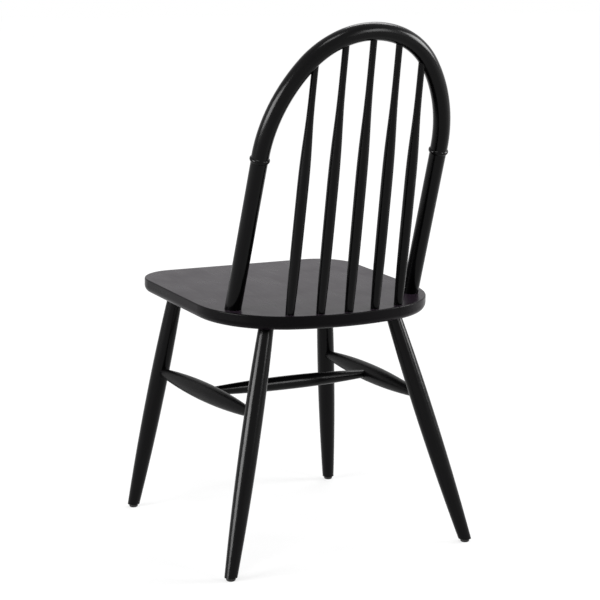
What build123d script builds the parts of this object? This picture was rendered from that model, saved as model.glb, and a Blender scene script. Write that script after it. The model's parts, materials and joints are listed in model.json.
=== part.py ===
from build123d import *
import os
from math import atan2, cos, degrees, radians, sin, sqrt

# A hoop-back wooden dining chair: a solid seat with four raked legs below it, and above it two turned
# posts, a bent arch and a row of turned spindles. Every joint is a round end glued into a blind socket.
# Millimetres. +Z is up, the sitter faces -Y, and +X is the sitter's left.

# Seat
SEAT_HEIGHT = 450.0            # floor to the top of the seat's front edge
SEAT_SLOPE = 2.6               # degrees that the seat falls towards the back
SEAT_WIDTH = 426.0
SEAT_DEPTH = 444.0             # front edge to the middle of the back edge
SEAT_THICKNESS = 25.0
SEAT_FRONT_CORNER = 72.0       # corner radii of the outline
SEAT_BACK_CORNER = 150.0
SEAT_BACK_BOW = 62.0           # how far the back edge bows out between the ends of its arc
SEAT_TOP_ARRIS = 2.0           # rounding along the seat's top edge
SEAT_BOTTOM_ARRIS = 12.0       # and along its underside, which makes the edge look thinner
SOCKET_SKIN = 5.0              # wood left between a blind socket's deepest corner and the far face

# Legs
LEG_TOP_DIAMETER = 25.7        # at the seat
LEG_BELLY_DIAMETER = 32.6
LEG_FOOT_DIAMETER = 21.2       # at the floor
LEG_BELLY_DROP = 180.0         # from the seat's underside to the thickest place
FRONT_LEG_SIDE_INSET = 61.0    # from the seat's sides to the front legs' centres at its underside
BACK_LEG_SIDE_INSET = 91.0
FRONT_LEG_INSET = 62.0         # from the seat's front edge to those centres
BACK_LEG_INSET = 77.0          # from the middle of the seat's back edge
FRONT_LEG_SPLAY = 57.0         # how far a foot stands out to the side of its leg's centre at the underside
BACK_LEG_SPLAY = 108.0
FRONT_FOOT_REACH = 26.0        # how far the front feet stand in front of the seat's front edge
BACK_FOOT_REACH = 1.0          # how far the back feet stand behind the middle of its back edge

# Glides under the feet
GLIDE_HEIGHT = 6.0
GLIDE_DIAMETER = 16.0
GLIDE_ROUNDING = 2.8
NAIL_HEAD_DIAMETER = 6.0
NAIL_HEAD_HEIGHT = 1.2
NAIL_HEAD_COVER = 2.4          # plastic under the nail's head
NAIL_DIAMETER = 2.4
NAIL_LENGTH = 18.0             # above its head
NAIL_POINT = 4.0

# Stretchers
SIDE_FRONT_HEIGHT = 267.5      # centre line of the side stretchers at the front legs
SIDE_BACK_HEIGHT = 263.0       # and at the back legs
SIDE_BELLY_DIAMETER = 32.8
SIDE_TENON_DIAMETER = 16.0
CROSS_BELLY_DIAMETER = 25.2
CROSS_TENON_DIAMETER = 15.0
STRETCHER_PAST_CENTRE = 4.0    # how far a stretcher runs past the centre line of the piece that it enters
TENON_SHOW = 2.0               # parallel part of a stretcher's tenon that shows

# Back posts and arch
POST_SIDE_INSET = 40.5         # from the seat's sides to the posts' centres on its top
POST_BACK_INSET = 103.0        # from the middle of the seat's back edge
POST_TUCK = 4.5                # how far each post leans in on its way up
POST_DIAMETER = 28.4
POST_LENGTH = 279.0            # seat to the joint with the arch
BACK_LEAN = 20.1               # degrees from the vertical
BEAD_HEIGHT = 8.0              # turned bead at the post's top
BEAD_DIAMETER = 33.6
ARCH_DIAMETER = 29.4
ARCH_RISE = 212.5              # joint to the crown, along the centre line's plane
ARCH_SIDE_ANGLE = 36.5         # degrees that each side arc turns before the tighter crown takes over
DOWEL_DIAMETER = 12.0
DOWEL_LENGTH = 56.0

# Screws that hold the posts from below
SCREW_HEAD_DIAMETER = 9.0
SCREW_HEAD_HEIGHT = 3.0
SCREW_HEAD_COVER = 0.5         # least depth of the head's face below the seat's underside
SCREW_DIAMETER = 4.5
SCREW_LENGTH = 40.0            # with its head
SCREW_POINT = 6.0
BLUNT_TIP = 0.6                # end of a nail's or a screw's point

# Spindles
SPINDLE_SEAT_PITCH = 52.0      # from spindle to spindle across the chair, at the seat
SPINDLE_ARCH_PITCH = 49.0      # and at the arch
SPINDLE_EDGE_MARGIN = 14.0     # from the seat's back edge to the row of spindles
SPINDLE_SEAT_DIAMETER = 15.0
SPINDLE_BELLY_DIAMETER = 19.2
SPINDLE_TIP_DIAMETER = 11.2
SPINDLE_BELLY_START = 140.0    # above the seat, along the spindle
SPINDLE_BELLY_END = 210.0
SPINDLE_TIP_LENGTH = 50.0      # slender end, up to the arch's centre line

# Fits
FIT_CLEARANCE = 0.1            # all round a glued round joint
END_GAP = 0.5                  # glue room at the bottom of a socket
FACE_GAP = 0.1                 # between two faces that meet

SIDES = {"left": 1, "right": -1}
SPINDLE_NAMES = {
    2: "outer_left",
    1: "inner_left",
    0: "centre",
    -1: "inner_right",
    -2: "outer_right",
}


# Curves of a turned outline, each from one (radius, height) point to the next

def straight(start, end):
    return Line(start, end)


def rise(start, end):
    """A swelling curve that ends along the axis."""
    return Bezier(start, (end[0], (start[1] + end[1]) / 2), end)


def fall(start, end):
    """A thinning curve that starts along the axis."""
    return Bezier(start, (start[0], (start[1] + end[1]) / 2), end)


def ease(start, end):
    """A curve that starts and ends along the axis."""
    middle = (start[1] + end[1]) / 2
    return Bezier(start, (start[0], middle), (end[0], middle), end)


def bead(start, end):
    """A round bead that stands proud of both its ends."""
    return ThreePointArc(start, (BEAD_DIAMETER / 2, (start[1] + end[1]) / 2), end)


def turned(outline, grow=0.0, extend=0.0):
    """Solid turned about Z. The outline is a first diameter at height 0, then (curve, height, diameter) steps.
    Grown all round and extended at both ends, it is the tool that cuts the piece's sockets."""
    first_diameter, steps = outline
    here = (first_diameter / 2 + grow, -extend)
    edges = Line((0, -extend), here)
    for curve, height, diameter in steps:
        there = (diameter / 2 + grow, height)
        edges += curve(here, there)
        here = there
    top = here[1] + extend
    if extend:
        edges += Line(here, (here[0], top))
    edges += Line((here[0], top), (0, top))
    edges += Line((0, top), (0, -extend))
    return revolve(make_face(Plane.XZ * edges), Axis.Z)


def along(start, end):
    """Plane at the start whose Z runs towards the end."""
    return Plane(origin=start, z_dir=end - start)


class Turning:
    """A turned piece on its axis, with the tool that cuts its sockets."""

    def __init__(self, outline, start, end):
        self.start = start
        self.end = end
        self.solid = along(start, end) * turned(outline)
        self.tool = along(start, end) * turned(outline, FIT_CLEARANCE, END_GAP)

    def at_height(self, height):
        """Point of the axis at a height above the floor."""
        share = (height - self.start.Z) / (self.end.Z - self.start.Z)
        return self.start + (self.end - self.start) * share


# Reference planes and points

seat_plane = Plane(
    origin=(0, 0, SEAT_HEIGHT),
    x_dir=(1, 0, 0),
    z_dir=(0, sin(radians(SEAT_SLOPE)), cos(radians(SEAT_SLOPE))),
)


def on_seat(across, setback):
    """Point on the seat's top, by its distance behind the front edge."""
    return seat_plane.from_local_coords(Vector(across, setback, 0))


def under_seat(across, setback):
    return seat_plane.from_local_coords(Vector(across, setback, -SEAT_THICKNESS))


def tenon_length(diameter, direction):
    """Depth along a slanted tenon that leaves the socket's skin whole at its deepest corner."""
    upright = abs(direction.dot(seat_plane.z_dir))
    slant = sqrt(1 - upright**2) / upright
    return (SEAT_THICKNESS - SOCKET_SKIN) / upright - diameter / 2 * slant


# Seat

seat_half = SEAT_WIDTH / 2
back_edge_radius = (seat_half**2 + SEAT_BACK_BOW**2) / (2 * SEAT_BACK_BOW)


def seat_blank():
    """The seat's panel before its sockets are bored."""
    chord = SEAT_DEPTH - SEAT_BACK_BOW
    outline = Line((-seat_half, 0), (seat_half, 0))
    outline += Line((seat_half, 0), (seat_half, chord))
    outline += ThreePointArc((seat_half, chord), (0, SEAT_DEPTH), (-seat_half, chord))
    outline += Line((-seat_half, chord), (-seat_half, 0))
    face = make_face(outline)
    corners = face.vertices().sort_by(Axis.Y)
    face = fillet(corners[:2], SEAT_FRONT_CORNER)
    corners = face.vertices().sort_by(Axis.Y)
    face = fillet(corners[-2:], SEAT_BACK_CORNER)
    panel = extrude(face, -SEAT_THICKNESS)
    panel = fillet(panel.faces().sort_by(Axis.Z)[-1].edges(), SEAT_TOP_ARRIS)
    panel = fillet(panel.faces().sort_by(Axis.Z)[0].edges(), SEAT_BOTTOM_ARRIS)
    return seat_plane * panel


# Legs

def make_leg(socket_point, foot_point):
    """A leg from inside the seat to the floor, before its foot is cut level."""
    direction = (foot_point - socket_point).normalized()
    tenon = tenon_length(LEG_TOP_DIAMETER, direction)
    start = socket_point - direction * tenon
    reach = (foot_point - start).length
    steps = [
        (straight, tenon, LEG_TOP_DIAMETER),
        (rise, tenon + LEG_BELLY_DROP, LEG_BELLY_DIAMETER),
        (fall, reach, LEG_FOOT_DIAMETER),
        (straight, reach + LEG_FOOT_DIAMETER, LEG_FOOT_DIAMETER),
    ]
    return Turning((LEG_TOP_DIAMETER, steps), start, foot_point)


def make_legs():
    back_setback = SEAT_DEPTH - BACK_LEG_INSET
    back_foot = SEAT_DEPTH + BACK_FOOT_REACH
    rows = {
        "front": (FRONT_LEG_SIDE_INSET, FRONT_LEG_INSET, FRONT_LEG_SPLAY, -FRONT_FOOT_REACH),
        "back": (BACK_LEG_SIDE_INSET, back_setback, BACK_LEG_SPLAY, back_foot),
    }
    made = {}
    for row, (side_inset, setback, splay, foot_setback) in rows.items():
        socket_half = seat_half - side_inset
        for side, sign in SIDES.items():
            socket_point = under_seat(sign * socket_half, setback)
            foot_point = Vector(sign * (socket_half + splay), foot_setback, 0)
            made[row, side] = make_leg(socket_point, foot_point)
    return made


# Stretchers

def make_stretcher(start_centre, end_centre, belly, tenon, entered_diameter):
    """A swelled rail between the centre lines of the two pieces that it enters."""
    direction = (end_centre - start_centre).normalized()
    start = start_centre - direction * STRETCHER_PAST_CENTRE
    end = end_centre + direction * STRETCHER_PAST_CENTRE
    length = (end - start).length
    shank = STRETCHER_PAST_CENTRE + entered_diameter / 2 + TENON_SHOW
    steps = [
        (straight, shank, tenon),
        (rise, length / 2, belly),
        (fall, length - shank, tenon),
        (straight, length, tenon),
    ]
    return Turning((tenon, steps), start, end)


def make_side_stretcher(front_leg, back_leg):
    front = front_leg.at_height(SIDE_FRONT_HEIGHT)
    back = back_leg.at_height(SIDE_BACK_HEIGHT)
    return make_stretcher(front, back, SIDE_BELLY_DIAMETER, SIDE_TENON_DIAMETER, LEG_BELLY_DIAMETER)


def make_cross_stretcher(left_rail, right_rail):
    left = (left_rail.start + left_rail.end) / 2
    right = (right_rail.start + right_rail.end) / 2
    return make_stretcher(left, right, CROSS_BELLY_DIAMETER, CROSS_TENON_DIAMETER, SIDE_BELLY_DIAMETER)


# Glides and their nails

def make_glide(leg):
    centre = leg.at_height(GLIDE_HEIGHT)
    pad = turned((GLIDE_DIAMETER, [(straight, GLIDE_HEIGHT, GLIDE_DIAMETER)]))
    pad = fillet(pad.edges().sort_by(Axis.Z)[0], GLIDE_ROUNDING)
    return Pos(centre.X, centre.Y, 0) * pad


def make_nail(leg):
    """A nail moulded into the glide, driven straight up into the foot."""
    shank_end = NAIL_HEAD_HEIGHT + NAIL_LENGTH - NAIL_POINT
    steps = [
        (straight, NAIL_HEAD_HEIGHT, NAIL_HEAD_DIAMETER),
        (straight, NAIL_HEAD_HEIGHT, NAIL_DIAMETER),
        (straight, shank_end, NAIL_DIAMETER),
        (straight, shank_end + NAIL_POINT, BLUNT_TIP),
    ]
    centre = leg.at_height(GLIDE_HEIGHT)
    base = Vector(centre.X, centre.Y, NAIL_HEAD_COVER)
    return Turning((NAIL_HEAD_DIAMETER, steps), base, base + Vector(0, 0, 1))


# Back posts

post_half = seat_half - POST_SIDE_INSET
post_setback = SEAT_DEPTH - POST_BACK_INSET
arch_half = post_half - POST_TUCK
back_plane = Plane(
    origin=on_seat(0, post_setback),
    x_dir=(1, 0, 0),
    z_dir=(0, -cos(radians(BACK_LEAN)), sin(radians(BACK_LEAN))),
)


def on_back(across, up):
    """Point in the plane of the posts and the arch, by its distance up from the seat."""
    return back_plane.from_local_coords(Vector(across, up, 0))


def make_post(sign):
    foot = on_seat(sign * post_half, post_setback)
    joint = on_back(sign * arch_half, POST_LENGTH)
    direction = (joint - foot).normalized()
    start = foot - direction * tenon_length(POST_DIAMETER, direction)
    end = joint - direction * FACE_GAP
    length = (end - start).length
    steps = [
        (straight, length - BEAD_HEIGHT, POST_DIAMETER),
        (bead, length, ARCH_DIAMETER),
    ]
    return Turning((POST_DIAMETER, steps), start, end)


def make_dowel(sign, post):
    """A dowel half in the post and half in the arch."""
    joint = on_back(sign * arch_half, POST_LENGTH)
    direction = (post.end - post.start).normalized()
    start = joint - direction * DOWEL_LENGTH / 2
    end = joint + direction * DOWEL_LENGTH / 2
    return Turning((DOWEL_DIAMETER, [(straight, DOWEL_LENGTH, DOWEL_DIAMETER)]), start, end)


def make_screw(post):
    """A screw along the post's axis, with the pocket that sinks its head in the seat's underside."""
    direction = (post.end - post.start).normalized()
    upright = direction.dot(seat_plane.z_dir)
    slant = sqrt(1 - upright**2) / upright
    sink = SCREW_HEAD_DIAMETER / 2 * slant + SCREW_HEAD_COVER
    foot = post.start + direction * tenon_length(POST_DIAMETER, direction)
    face = foot - direction * (SEAT_THICKNESS / upright - sink)
    steps = [
        (straight, SCREW_HEAD_HEIGHT, SCREW_HEAD_DIAMETER),
        (straight, SCREW_HEAD_HEIGHT, SCREW_DIAMETER),
        (straight, SCREW_LENGTH - SCREW_POINT, SCREW_DIAMETER),
        (straight, SCREW_LENGTH, BLUNT_TIP),
    ]
    screw = Turning((SCREW_HEAD_DIAMETER, steps), face, face + direction)
    mouth = face - direction * (sink + SCREW_HEAD_DIAMETER)
    depth = (face - mouth).length
    pocket = turned((SCREW_HEAD_DIAMETER, [(straight, depth, SCREW_HEAD_DIAMETER)]), FIT_CLEARANCE)
    return screw, along(mouth, face) * pocket


# Arch

arch_start_angle = atan2(POST_TUCK, POST_LENGTH)
arch_turn = arch_start_angle + radians(ARCH_SIDE_ANGLE)


def arch_radii():
    """Side and crown radii whose arcs meet smoothly and reach the spread and the rise."""
    side_across = cos(arch_start_angle) - cos(arch_turn)
    crown_across = cos(arch_turn)
    side_up = sin(arch_turn) - sin(arch_start_angle)
    crown_up = 1 - sin(arch_turn)
    scale = side_across * crown_up - crown_across * side_up
    side = (arch_half * crown_up - crown_across * ARCH_RISE) / scale
    crown = (side_across * ARCH_RISE - arch_half * side_up) / scale
    return side, crown


side_radius, crown_radius = arch_radii()
side_centre = (arch_half - side_radius * cos(arch_start_angle), -side_radius * sin(arch_start_angle))
crown_centre_up = ARCH_RISE - crown_radius


def arch_point(across):
    """Point of the arch's centre line at a distance across from the middle."""
    if abs(across) <= crown_radius * cos(arch_turn):
        up = crown_centre_up + sqrt(crown_radius**2 - across**2)
    else:
        up = side_centre[1] + sqrt(side_radius**2 - (abs(across) - side_centre[0]) ** 2)
    return on_back(across, POST_LENGTH + up)


def arch_blank():
    """The bent bar before its sockets are bored."""
    tangent = (-sin(arch_start_angle), cos(arch_start_angle))
    crown_angle = 2 * (90 - degrees(arch_turn))
    first = JernArc((arch_half, POST_LENGTH), tangent, side_radius, ARCH_SIDE_ANGLE)
    crown = JernArc(first @ 1, first % 1, crown_radius, crown_angle)
    last = JernArc(crown @ 1, crown % 1, side_radius, ARCH_SIDE_ANGLE)
    path = back_plane * (first + crown + last)
    section = Plane(origin=path @ 0, z_dir=path % 0) * Circle(ARCH_DIAMETER / 2)
    return sweep(section, path=path)


# Spindles

def make_spindle(place):
    """A spindle from the row along the seat's back edge to the arch."""
    across = place * SPINDLE_SEAT_PITCH
    row_radius = back_edge_radius - SPINDLE_EDGE_MARGIN
    setback = SEAT_DEPTH - back_edge_radius + sqrt(row_radius**2 - across**2)
    foot = on_seat(across, setback)
    tip = arch_point(place * SPINDLE_ARCH_PITCH)
    direction = (tip - foot).normalized()
    tenon = tenon_length(SPINDLE_SEAT_DIAMETER, direction)
    start = foot - direction * tenon
    length = (tip - start).length
    steps = [
        (straight, tenon, SPINDLE_SEAT_DIAMETER),
        (rise, tenon + SPINDLE_BELLY_START, SPINDLE_BELLY_DIAMETER),
        (straight, tenon + SPINDLE_BELLY_END, SPINDLE_BELLY_DIAMETER),
        (ease, length - SPINDLE_TIP_LENGTH, SPINDLE_TIP_DIAMETER),
        (straight, length, SPINDLE_TIP_DIAMETER),
    ]
    return Turning((SPINDLE_SEAT_DIAMETER, steps), start, tip)


# Assembly

legs = make_legs()
side_rails = {side: make_side_stretcher(legs["front", side], legs["back", side]) for side in SIDES}
cross_rail = make_cross_stretcher(side_rails["left"], side_rails["right"])
posts = {side: make_post(sign) for side, sign in SIDES.items()}
dowels = {side: make_dowel(sign, posts[side]) for side, sign in SIDES.items()}
spindles = {place: make_spindle(place) for place in SPINDLE_NAMES}

nodes = {}
seat = seat_blank()
arch = arch_blank()

foot_cut = Plane(origin=(0, 0, GLIDE_HEIGHT + FACE_GAP))
nails = []
for (row, side), leg in legs.items():
    nail = make_nail(leg)
    nails.append(nail.solid)
    foot_level = split(leg.solid, bisect_by=foot_cut, keep=Keep.TOP)
    nodes[f"leg_{row}_{side}"] = foot_level - side_rails[side].tool - nail.tool
    nodes[f"glide_{row}_{side}"] = make_glide(leg) - nail.tool
    seat -= leg.tool

for side, rail in side_rails.items():
    nodes[f"side_stretcher_{side}"] = rail.solid - cross_rail.tool
nodes["cross_stretcher"] = cross_rail.solid

screws = []
for side, post in posts.items():
    screw, pocket = make_screw(post)
    screws.append(screw.solid)
    nodes[f"back_post_{side}"] = post.solid - dowels[side].tool - screw.tool
    nodes[f"arch_dowel_{side}"] = dowels[side].solid
    seat -= post.tool
    seat -= screw.tool
    seat -= pocket
    arch -= dowels[side].tool

for place, spindle in spindles.items():
    nodes[f"spindle_{SPINDLE_NAMES[place]}"] = spindle.solid
    seat -= spindle.tool
    arch -= spindle.tool

nodes["seat"] = seat
nodes["back_arch"] = arch
nodes["glide_nails"] = Compound(children=nails)
nodes["post_screws"] = Compound(children=screws)

# The origin is on the floor under the middle of the chair's box
box = Compound(list(nodes.values())).bounding_box()
to_origin = Pos(0, -box.center().Y, 0)

os.makedirs("parts", exist_ok=True)
for name, piece in nodes.items():
    export_step(to_origin * piece, f"parts/{name}.step")
print("nodes", len(nodes), "size", box.size)
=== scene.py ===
import json
import math

import bmesh
import bpy
import numpy as np
from mathutils import Matrix, Vector


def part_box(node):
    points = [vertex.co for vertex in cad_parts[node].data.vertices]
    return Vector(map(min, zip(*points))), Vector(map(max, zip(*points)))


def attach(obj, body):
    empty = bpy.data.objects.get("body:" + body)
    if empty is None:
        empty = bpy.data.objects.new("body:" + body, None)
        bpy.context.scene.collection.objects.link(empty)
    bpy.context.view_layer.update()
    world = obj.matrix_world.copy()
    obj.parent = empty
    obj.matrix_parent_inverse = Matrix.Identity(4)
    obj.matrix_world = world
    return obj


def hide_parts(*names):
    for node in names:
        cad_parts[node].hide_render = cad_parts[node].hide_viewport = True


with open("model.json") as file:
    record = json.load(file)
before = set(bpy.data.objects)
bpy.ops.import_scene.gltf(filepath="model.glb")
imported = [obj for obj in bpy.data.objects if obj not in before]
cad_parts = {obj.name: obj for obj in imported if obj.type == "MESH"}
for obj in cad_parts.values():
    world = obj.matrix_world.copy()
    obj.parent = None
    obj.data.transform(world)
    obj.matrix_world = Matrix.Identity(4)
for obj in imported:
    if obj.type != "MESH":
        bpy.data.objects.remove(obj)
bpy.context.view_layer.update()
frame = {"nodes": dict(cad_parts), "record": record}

# The chair is in metres, with the sitter facing -Y and +X to the sitter's left.

# Camera, from the photograph's viewpoint
CAMERA_AZIMUTH = 152.7         # degrees round from -Y towards +X
CAMERA_ELEVATION = 9.5
CAMERA_DISTANCE = 3.1947
CAMERA_PIVOT = Vector((0.0, -0.028, 0.450))
AIM_RIGHT = 0.0170             # how far the camera aims to the right of the pivot
AIM_DOWN = 0.0337
LENS_MM = 108.0
SENSOR_MM = 36.0

# Lamps: degrees to the right of the camera, degrees up, degrees wide and high, and how bright the face is
LAMPS = {
    "key": (-60, 13, 32, 22, 20.0),
    "front": (54, 19, 16, 20, 12.0),
    "side": (95, 18, 23, 22, 20.0),
    "top": (-10, 63, 18, 14, 12.0),
    "rim": (158, 53, 34, 18, 7.5),
}
LAMP_DISTANCE = 4.0
WATTS_PER_AREA = 4.0           # lamp power that makes a square metre of its face white

# White surroundings
WHITE = (1, 1, 1, 1)
FLOOR_HALF = 40.0
FLOOR_SHADE = 0.20             # how pale the floor is to the lamps, so that a shadow shows
GLOW_NEAR = 0.715              # the floor's own glow by the chair, which makes up its white
GLOW_FAR = 0.98                # and out of the lamps' reach
GLOW_NEAR_RADIUS = 0.8
GLOW_FAR_RADIUS = 4.5
WORLD_FILL = 0.12              # light from all round, as diffuse surfaces see it

# Black lacquer over wood: colours, gloss, texture sizes and depths
LACQUER_DARK = (0.0004, 0.0004, 0.0005, 1)
LACQUER_LIGHT = (0.0013, 0.0012, 0.0014, 1)
# A coat's specular level, and its roughness where it is smooth and where it is dull
TURNED_COAT = (0.10, 0.17, 0.26)
SEAT_COAT = (0.05, 0.25, 0.35)
RAIL_COAT = (0.05, 0.30, 0.40)
SEAT_HAZE = 0.012              # faint purplish haze that the seat's coat has at low angles
SEAT_HAZE_TINT = (0.96, 0.62, 1.0, 1)
COATS = {"seat": SEAT_COAT, "side_stretcher_left": RAIL_COAT, "side_stretcher_right": RAIL_COAT}
SHEEN_CLOUDS = 0.6             # how much of the change in sheen is broad, and how much follows the grain
SHEEN_GRAIN = 0.4
GRAIN_PER_METRE = 420.0        # streaks across the grain
GRAIN_STRETCH = 30.0           # how much longer than wide a streak is
PORES_PER_METRE = 1300.0
PORE_STRETCH = 14.0
CLOUDS_PER_METRE = 14.0        # broad changes of sheen
PEEL_PER_METRE = 150.0         # waves that the sprayed coat dried with
GRAIN_DEPTH = 0.00003
PORE_DEPTH = 0.000028
PEEL_DEPTH = 0.00002

# The seat's boards, glued edge to edge
SEAT_GRAIN = Vector((0, 1, 0))
BOARD_WIDTH = 0.085
BOARD_SHIFT = 0.37             # how far each board's grain is moved on from its neighbour's

# Bare wood of the dowels
WOOD_PALE = (0.56, 0.37, 0.21, 1)
WOOD_BROWN = (0.38, 0.22, 0.11, 1)
WOOD_SPECULAR = 0.3
WOOD_SMOOTH = 0.5
WOOD_DULL = 0.75

# Moulded plastic of the glides
PLASTIC_BLACK = (0.004, 0.004, 0.004, 1)
PLASTIC_SCUFFED = (0.022, 0.021, 0.020, 1)
PLASTIC_SPECULAR = 0.25
PLASTIC_SMOOTH = 0.38
PLASTIC_DULL = 0.62
SCUFFS_PER_METRE = 260.0
SPECKS_PER_METRE = 2600.0      # fine spark texture of the mould
SPECK_DEPTH = 0.00003

# Zinc-plated steel
STEEL_BRIGHT = (0.62, 0.62, 0.60, 1)
STEEL_DULL = (0.40, 0.39, 0.36, 1)
STEEL_SMOOTH = 0.26
STEEL_ROUGH = 0.46
STAINS_PER_METRE = 500.0
SCRATCHES_PER_METRE = 2500.0
SCRATCH_STRETCH = 20.0
SCRATCH_DEPTH = 0.000006

# Noise: the middle range that it mostly keeps to, and how many finer layers it has
NOISE_LOW = 0.3
NOISE_HIGH = 0.7
RICH_DETAIL = 4
CLOUD_DETAIL = 3
PLAIN_DETAIL = 1

# Screws up through the seat into the posts
SCREW_STEPS = 40               # points round a screw
SCREW_HEAD_HEIGHT = 0.003
SCREW_HEAD_BEVEL = 0.0005
SCREW_PLAIN_END = 0.013        # where the thread starts, from the head's face
SCREW_PITCH = 0.0018
SCREW_THREAD_DEPTH = 0.0006
SCREW_POINT = 0.006
SCREW_TIP_RADIUS = 0.0003
RINGS_PER_TURN = 8
CROSS_ARMS = 4                 # arms of the driver's cross in the head
CROSS_REACH = 0.0024           # from the cross's middle to an arm's end
CROSS_HALF_WIDTH = 0.0006
CROSS_DEPTH = 0.0016
CROSS_TAPER = 0.55             # size of the cross at its bottom, as a share of its mouth
SHARP_ANGLE = 40.0             # degrees from which an edge between faces is shaded sharp


def direction(azimuth, elevation):
    """Unit vector from the chair towards a place round it, in degrees."""
    turn = math.radians(azimuth)
    rise = math.radians(elevation)
    return Vector((math.sin(turn) * math.cos(rise), -math.cos(turn) * math.cos(rise), math.sin(rise)))


def add_object(name, data):
    made = bpy.data.objects.new(name, data)
    bpy.context.scene.collection.objects.link(made)
    return made


# Node helpers

def link(tree, source, target):
    tree.links.new(source, target)


def node(tree, kind, **inputs):
    """A shader node with its input values set by name."""
    made = tree.nodes.new(kind)
    for name, value in inputs.items():
        made.inputs[name.replace("_", " ")].default_value = value
    return made


def math_node(tree, operation, first, second=0.0):
    """A math node whose two inputs are sockets or numbers."""
    made = tree.nodes.new("ShaderNodeMath")
    made.operation = operation
    for socket, value in zip(made.inputs, (first, second)):
        if isinstance(value, (int, float)):
            socket.default_value = value
        else:
            link(tree, value, socket)
    return made.outputs[0]


def ranged(tree, value, low, high, start=NOISE_LOW, end=NOISE_HIGH, smooth=False):
    """A value from start to end mapped to one from low to high, and held there beyond."""
    made = node(tree, "ShaderNodeMapRange", From_Min=start, From_Max=end, To_Min=low, To_Max=high)
    if smooth:
        made.interpolation_type = "SMOOTHSTEP"
    link(tree, value, made.inputs["Value"])
    return made.outputs[0]


def noise(tree, place, per_metre, detail):
    made = node(tree, "ShaderNodeTexNoise", Scale=per_metre, Detail=detail)
    link(tree, place, made.inputs["Vector"])
    return made.outputs[0]


def stretched(tree, place, stretch):
    """Places drawn together along Z, so that a texture there is that much longer than wide."""
    made = node(tree, "ShaderNodeMapping", Scale=(1, 1, 1 / stretch))
    link(tree, place, made.inputs["Vector"])
    return made.outputs[0]


def split_xyz(tree, place):
    made = tree.nodes.new("ShaderNodeSeparateXYZ")
    link(tree, place, made.inputs[0])
    return made.outputs


def joined_xyz(tree, *values):
    made = tree.nodes.new("ShaderNodeCombineXYZ")
    for socket, value in zip(made.inputs, values):
        link(tree, value, socket)
    return made.outputs[0]


def two_colours(tree, value, first, second):
    """One colour where the noise is low and another where it is high."""
    made = tree.nodes.new("ShaderNodeValToRGB")
    low, high = made.color_ramp.elements
    low.position = NOISE_LOW
    low.color = first
    high.position = NOISE_HIGH
    high.color = second
    link(tree, value, made.inputs[0])
    return made.outputs[0]


def bumped(tree, heights):
    """A normal with several (height, depth in metres) layers of bump."""
    normal = None
    for height, depth in heights:
        made = node(tree, "ShaderNodeBump", Distance=depth)
        link(tree, height, made.inputs["Height"])
        if normal:
            link(tree, normal, made.inputs["Normal"])
        normal = made.outputs[0]
    return normal


def seen_rays(tree):
    """1 for rays that show the background: camera, glossy and transmission rays."""
    path = tree.nodes.new("ShaderNodeLightPath")
    first = math_node(tree, "MAXIMUM", path.outputs["Is Camera Ray"], path.outputs["Is Glossy Ray"])
    return math_node(tree, "MAXIMUM", first, path.outputs["Is Transmission Ray"])


# Where the grain runs

def long_axes(points):
    """The middle of a form, and its directions from the shortest to the longest."""
    points = np.array(points)
    middle = points.mean(0)
    vectors = np.linalg.eigh(np.cov((points - middle).T))[1].T
    upright = [v * np.sign(v[np.abs(v).argmax()]) for v in vectors]
    return Vector(middle), [Vector(v) for v in upright]


def places(tree, middle, turn):
    """Places on a piece in metres from its middle, turned so that Z runs along its grain."""
    place = tree.nodes.new("ShaderNodeTexCoord")
    made = node(tree, "ShaderNodeMapping", Location=middle, Rotation=turn)
    made.vector_type = "TEXTURE"
    link(tree, place.outputs["Object"], made.inputs["Vector"])
    return made.outputs[0]


def straight_places(tree, obj):
    middle, axes = long_axes([v.co for v in obj.data.vertices])
    return places(tree, middle, axes[-1].to_track_quat("Z", "Y").to_euler())


def bent_places(tree, obj):
    """Places on the arch, whose grain follows its bend."""
    middle, (normal, up, across) = long_axes([v.co for v in obj.data.vertices])
    low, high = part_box(obj.name)
    foot = middle - up * (middle - low).dot(up)
    turn = Matrix((across, -normal, up)).transposed().to_euler()
    side, depth, rise = split_xyz(tree, places(tree, foot, turn))
    squares = [math_node(tree, "MULTIPLY", value, value) for value in (side, rise)]
    outward = math_node(tree, "SQRT", math_node(tree, "ADD", *squares))
    radius = (high - low).x / 2
    along = math_node(tree, "MULTIPLY", math_node(tree, "ARCTAN2", rise, side), radius)
    return joined_xyz(tree, outward, depth, along)


def board_places(tree, obj):
    """Places on the seat's boards, each with its own stretch of grain."""
    middle = long_axes([v.co for v in obj.data.vertices])[0]
    turn = SEAT_GRAIN.to_track_quat("Z", "Y").to_euler()
    across, up, along = split_xyz(tree, places(tree, middle, turn))
    board = math_node(tree, "FLOOR", math_node(tree, "DIVIDE", across, BOARD_WIDTH))
    moved = math_node(tree, "ADD", along, math_node(tree, "MULTIPLY", board, BOARD_SHIFT))
    return joined_xyz(tree, across, up, moved)


GRAIN_PLACES = {"seat": board_places, "back_arch": bent_places}


def grain_places(tree, obj):
    return GRAIN_PLACES.get(obj.name, straight_places)(tree, obj)


def grain_and_pores(tree, place):
    """Long streaks of grain, and the finer pores among them."""
    grain = noise(tree, stretched(tree, place, GRAIN_STRETCH), GRAIN_PER_METRE, RICH_DETAIL)
    pores = noise(tree, stretched(tree, place, PORE_STRETCH), PORES_PER_METRE, PLAIN_DETAIL)
    return grain, pores


# Materials of the chair

def new_material(name):
    material = bpy.data.materials.new(name)
    material.use_nodes = True
    material.node_tree.nodes.clear()
    return material, material.node_tree


def finished(material, tree, shader):
    output = tree.nodes.new("ShaderNodeOutputMaterial")
    link(tree, shader.outputs[0], output.inputs["Surface"])
    return material


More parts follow.
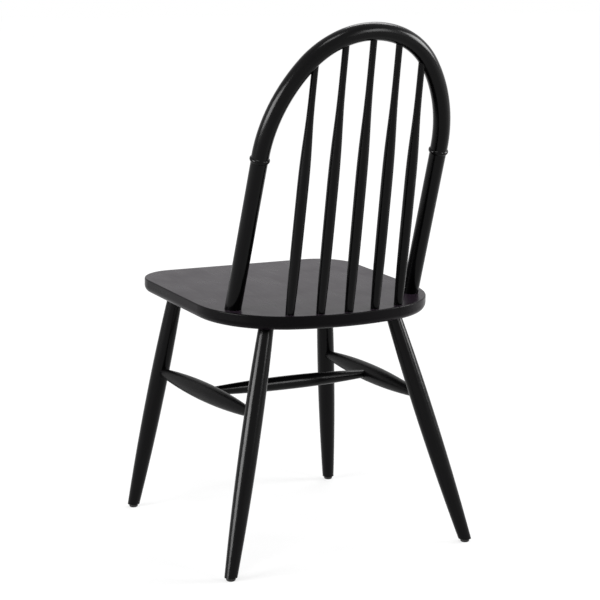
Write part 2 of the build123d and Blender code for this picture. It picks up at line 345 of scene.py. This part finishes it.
def lacquer_material(obj):
    """Satin black lacquer that lets a little of the wood's grain through."""
    material, tree = new_material("lacquer_" + obj.name)
    place = grain_places(tree, obj)
    grain, pores = grain_and_pores(tree, place)
    clouds = noise(tree, place, CLOUDS_PER_METRE, CLOUD_DETAIL)
    peel = noise(tree, place, PEEL_PER_METRE, PLAIN_DETAIL)
    specular, smooth, dull = COATS.get(obj.name, TURNED_COAT)
    shader = node(tree, "ShaderNodeBsdfPrincipled", Specular_IOR_Level=specular)
    if obj.name == "seat":
        shader.inputs["Sheen Weight"].default_value = SEAT_HAZE
        shader.inputs["Sheen Tint"].default_value = SEAT_HAZE_TINT
    link(tree, two_colours(tree, grain, LACQUER_DARK, LACQUER_LIGHT), shader.inputs["Base Color"])
    broad = math_node(tree, "MULTIPLY", clouds, SHEEN_CLOUDS)
    sheen = math_node(tree, "ADD", broad, math_node(tree, "MULTIPLY", grain, SHEEN_GRAIN))
    link(tree, ranged(tree, sheen, smooth, dull), shader.inputs["Roughness"])
    normal = bumped(tree, [(peel, PEEL_DEPTH), (grain, GRAIN_DEPTH), (pores, PORE_DEPTH)])
    link(tree, normal, shader.inputs["Normal"])
    return finished(material, tree, shader)


def wood_material(obj):
    """Bare wood with streaks along its length."""
    material, tree = new_material("wood_" + obj.name)
    grain, pores = grain_and_pores(tree, grain_places(tree, obj))
    shader = node(tree, "ShaderNodeBsdfPrincipled", Specular_IOR_Level=WOOD_SPECULAR)
    link(tree, two_colours(tree, grain, WOOD_BROWN, WOOD_PALE), shader.inputs["Base Color"])
    link(tree, ranged(tree, pores, WOOD_SMOOTH, WOOD_DULL), shader.inputs["Roughness"])
    link(tree, bumped(tree, [(grain, GRAIN_DEPTH), (pores, PORE_DEPTH)]), shader.inputs["Normal"])
    return finished(material, tree, shader)


def plastic_material(obj):
    """Moulded black plastic, scuffed paler in patches."""
    material, tree = new_material("plastic_" + obj.name)
    place = straight_places(tree, obj)
    scuffs = noise(tree, place, SCUFFS_PER_METRE, RICH_DETAIL)
    specks = noise(tree, place, SPECKS_PER_METRE, PLAIN_DETAIL)
    shader = node(tree, "ShaderNodeBsdfPrincipled", Specular_IOR_Level=PLASTIC_SPECULAR)
    link(tree, two_colours(tree, scuffs, PLASTIC_BLACK, PLASTIC_SCUFFED), shader.inputs["Base Color"])
    link(tree, ranged(tree, scuffs, PLASTIC_SMOOTH, PLASTIC_DULL), shader.inputs["Roughness"])
    link(tree, bumped(tree, [(specks, SPECK_DEPTH)]), shader.inputs["Normal"])
    return finished(material, tree, shader)


def steel_material(obj):
    """Zinc-plated steel with faint stains and fine scratches."""
    material, tree = new_material("steel_" + obj.name)
    place = straight_places(tree, obj)
    stains = noise(tree, place, STAINS_PER_METRE, CLOUD_DETAIL)
    scratches = noise(tree, stretched(tree, place, SCRATCH_STRETCH), SCRATCHES_PER_METRE, PLAIN_DETAIL)
    shader = node(tree, "ShaderNodeBsdfPrincipled", Metallic=1.0)
    link(tree, two_colours(tree, stains, STEEL_DULL, STEEL_BRIGHT), shader.inputs["Base Color"])
    link(tree, ranged(tree, stains, STEEL_ROUGH, STEEL_SMOOTH), shader.inputs["Roughness"])
    link(tree, bumped(tree, [(scratches, SCRATCH_DEPTH)]), shader.inputs["Normal"])
    return finished(material, tree, shader)


MATERIALS = {
    "black_lacquer": lacquer_material,
    "bare_wood": wood_material,
    "glide_plastic": plastic_material,
    "steel": steel_material,
}


def set_material(obj, slot):
    obj.data.materials.clear()
    obj.data.materials.append(MATERIALS[slot](obj))


# Screws

def add_rings(form, place, rings):
    """Adds rings of points, each from a height and its radius by angle, and gives the two end rings."""
    made = []
    for height, radius in rings:
        ring = []
        for step in range(SCREW_STEPS):
            turn = math.tau * step / SCREW_STEPS
            reach = radius(turn)
            point = Vector((reach * math.cos(turn), reach * math.sin(turn), height))
            ring.append(form.verts.new(place @ point))
        made.append(ring)
    for below, above in zip(made, made[1:]):
        for step in range(SCREW_STEPS):
            after = (step + 1) % SCREW_STEPS
            form.faces.new((below[step], below[after], above[after], above[step]))
    return made[0], made[-1]


def cross_outline(share, height):
    """Corners of the driver's cross at a height, at a share of its full size."""
    reach = CROSS_REACH * share
    half = CROSS_HALF_WIDTH * share
    corners = []
    for arm in range(CROSS_ARMS):
        turn = Matrix.Rotation(math.tau * arm / CROSS_ARMS, 3, "Z")
        for x, y in ((reach, -half), (reach, half), (half, half)):
            corners.append(turn @ Vector((x, y, height)))
    return corners


def loop_edges(form, loop):
    """The edges round a closed loop of points, made where there are none yet."""
    pairs = zip(loop, loop[1:] + loop[:1])
    return [form.edges.get(pair) or form.edges.new(pair) for pair in pairs]


def add_cross(form, place, rim):
    """Closes the head's face inside its rim, with the cross sunk in it."""
    mouth = [form.verts.new(place @ corner) for corner in cross_outline(1.0, 0.0)]
    bottom = [form.verts.new(place @ corner) for corner in cross_outline(CROSS_TAPER, CROSS_DEPTH)]
    bmesh.ops.triangle_fill(form, use_beauty=True, edges=loop_edges(form, rim) + loop_edges(form, mouth))
    for corner in range(len(mouth)):
        form.faces.new((mouth[corner - 1], mouth[corner], bottom[corner], bottom[corner - 1]))
    form.faces.new(bottom)


def screw_place(points):
    """Where a plain screw stands on its head, with Z along the screw."""
    middle, axes = long_axes(points)
    axis = axes[-1]
    head = middle + axis * min((point - middle).dot(axis) for point in points)
    return Matrix.Translation(head) @ axis.to_track_quat("Z", "Y").to_matrix().to_4x4()


def add_screw(form, points):
    """A threaded screw in the place and size of a plain one."""
    place = screw_place(points)
    inward = place.inverted()
    standing = [inward @ point for point in points]
    length = max(point.z for point in standing)
    head_radius = max(point.xy.length for point in standing)
    head_end = SCREW_HEAD_HEIGHT + SCREW_HEAD_BEVEL
    shank_radius = max(point.xy.length for point in standing if point.z > head_end)
    core_radius = shank_radius - SCREW_THREAD_DEPTH

    def steady(radius):
        return lambda turn: radius

    def threaded(height):
        whole = min(1.0, (length - height) / SCREW_POINT)
        risen = min(1.0, (height - SCREW_PLAIN_END) / SCREW_PITCH)

        def radius(turn):
            around = (height / SCREW_PITCH - turn / math.tau) % 1.0
            ridge = risen * SCREW_THREAD_DEPTH * (1 - abs(2 * around - 1))
            return SCREW_TIP_RADIUS + (core_radius + ridge - SCREW_TIP_RADIUS) * whole

        return radius

    rings = [
        (0.0, steady(head_radius - SCREW_HEAD_BEVEL)),
        (SCREW_HEAD_BEVEL, steady(head_radius)),
        (SCREW_HEAD_HEIGHT, steady(head_radius)),
        (SCREW_HEAD_HEIGHT, steady(core_radius)),
    ]
    turns = (length - SCREW_PLAIN_END) / SCREW_PITCH
    steps = math.ceil(turns * RINGS_PER_TURN)
    for height in np.linspace(SCREW_PLAIN_END, length, steps):
        rings.append((height, threaded(height)))
    rim, tip = add_rings(form, place, rings)
    add_cross(form, place, rim)
    form.faces.new(tip)


def make_screws():
    """The two screws under the seat, with their threads and driver's crosses."""
    points = [v.co for v in frame["nodes"]["post_screws"].data.vertices]
    form = bmesh.new()
    for side in (1, -1):
        add_screw(form, [point for point in points if point.x * side > 0])
    bmesh.ops.recalc_face_normals(form, faces=form.faces)
    mesh = bpy.data.meshes.new("threaded_screws")
    form.to_mesh(mesh)
    form.free()
    mesh.shade_smooth()
    mesh.set_sharp_from_angle(angle=math.radians(SHARP_ANGLE))
    screws = add_object("threaded_screws", mesh)
    set_material(screws, "steel")
    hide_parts("post_screws")
    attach(screws, "root")


# Studio

def floor_material():
    """White that is partly the floor's own glow, so that the lamps leave only a soft shadow."""
    material, tree = new_material("white_floor")
    paint = node(tree, "ShaderNodeBsdfDiffuse", Color=(FLOOR_SHADE, FLOOR_SHADE, FLOOR_SHADE, 1))
    place = tree.nodes.new("ShaderNodeNewGeometry")
    reach = tree.nodes.new("ShaderNodeVectorMath")
    reach.operation = "LENGTH"
    link(tree, place.outputs["Position"], reach.inputs[0])
    away = reach.outputs["Value"]
    pool = ranged(tree, away, GLOW_NEAR, GLOW_FAR, GLOW_NEAR_RADIUS, GLOW_FAR_RADIUS, smooth=True)
    glow = tree.nodes.new("ShaderNodeEmission")
    link(tree, math_node(tree, "MULTIPLY", seen_rays(tree), pool), glow.inputs["Strength"])
    both = tree.nodes.new("ShaderNodeAddShader")
    link(tree, paint.outputs[0], both.inputs[0])
    link(tree, glow.outputs[0], both.inputs[1])
    return finished(material, tree, both)


def make_floor():
    mesh = bpy.data.meshes.new("floor")
    corners = [(-1, -1), (1, -1), (1, 1), (-1, 1)]
    mesh.from_pydata([(x * FLOOR_HALF, y * FLOOR_HALF, 0) for x, y in corners], [], [(0, 1, 2, 3)])
    mesh.materials.append(floor_material())
    add_object("floor", mesh)


def make_world():
    world = bpy.data.worlds.new("studio")
    world.use_nodes = True
    tree = world.node_tree
    tree.nodes.clear()
    output = tree.nodes.new("ShaderNodeOutputWorld")
    background = node(tree, "ShaderNodeBackground", Color=WHITE)
    link(tree, math_node(tree, "MAXIMUM", seen_rays(tree), WORLD_FILL), background.inputs["Strength"])
    link(tree, background.outputs[0], output.inputs["Surface"])
    bpy.context.scene.world = world


def make_lamp(name, right, elevation, wide, high, brightness):
    """A soft lamp that faces the chair, from its angles and how bright its face is, where 1 is white."""
    data = bpy.data.lights.new(name, "AREA")
    data.shape = "RECTANGLE"
    data.size = 2 * LAMP_DISTANCE * math.tan(math.radians(wide / 2))
    data.size_y = 2 * LAMP_DISTANCE * math.tan(math.radians(high / 2))
    data.energy = brightness * data.size * data.size_y * WATTS_PER_AREA
    lamp = add_object(name, data)
    towards = direction(CAMERA_AZIMUTH + right, elevation)
    lamp.location = CAMERA_PIVOT + towards * LAMP_DISTANCE
    lamp.rotation_euler = towards.to_track_quat("Z", "Y").to_euler()
    lamp.visible_camera = False


def make_camera():
    data = bpy.data.cameras.new("camera")
    data.lens = LENS_MM
    data.sensor_width = SENSOR_MM
    camera = add_object("camera", data)
    back = direction(CAMERA_AZIMUTH, CAMERA_ELEVATION)
    right = Vector((0, 0, 1)).cross(back).normalized()
    up = back.cross(right)
    camera.location = CAMERA_PIVOT + back * CAMERA_DISTANCE
    aim = CAMERA_PIVOT + right * AIM_RIGHT - up * AIM_DOWN
    camera.rotation_euler = (camera.location - aim).to_track_quat("Z", "Y").to_euler()
    bpy.context.scene.camera = camera


# Scene

bpy.context.scene.view_settings.view_transform = "Standard"
make_camera()
for entry in frame["record"]["subparts"]:
    set_material(frame["nodes"][entry["node"]], entry["material_slot"])
make_screws()
make_floor()
make_world()
for lamp_name, lamp_values in LAMPS.items():
    make_lamp(lamp_name, *lamp_values)
